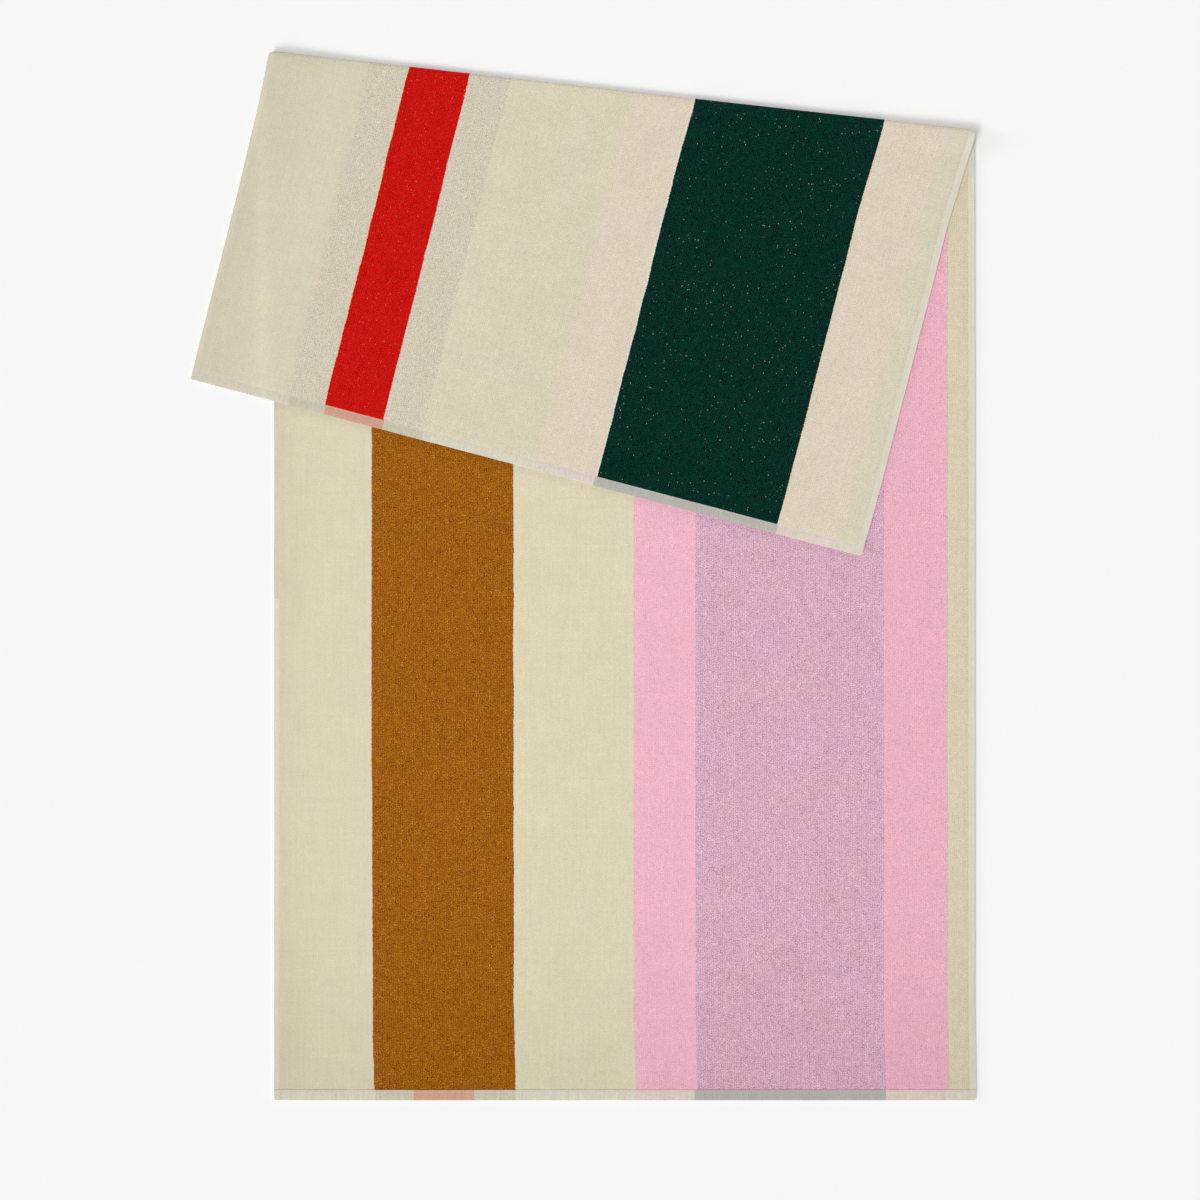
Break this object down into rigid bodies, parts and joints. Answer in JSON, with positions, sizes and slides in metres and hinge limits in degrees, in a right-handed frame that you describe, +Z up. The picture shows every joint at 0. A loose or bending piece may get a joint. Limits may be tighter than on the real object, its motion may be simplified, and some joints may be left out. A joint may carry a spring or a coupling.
{
  "type": "folded bath towel",
  "caption": "Cotton terry bath towel lying flat, its top end turned down over the front on a slant so that the reverse shows.",
  "frame": {"origin": "middle of the footprint, on the surface that the towel lies on", "axes": "+Z up from the surface, +Y along the towel towards its folded end, +X across it towards its right edge"},
  "size_m": [0.7822, 1.0449, 0.0116],
  "materials": {
    "terry": "short cotton terry pile, cream with wide lengthwise stripes of ochre, pink and lilac on the front and of red, dark green and pale pink on the reverse; flat-woven selvedges and stitched hems"
  },
  "bodies": {
    "root": {"towel": "terry"}
  },
  "joints": []
}
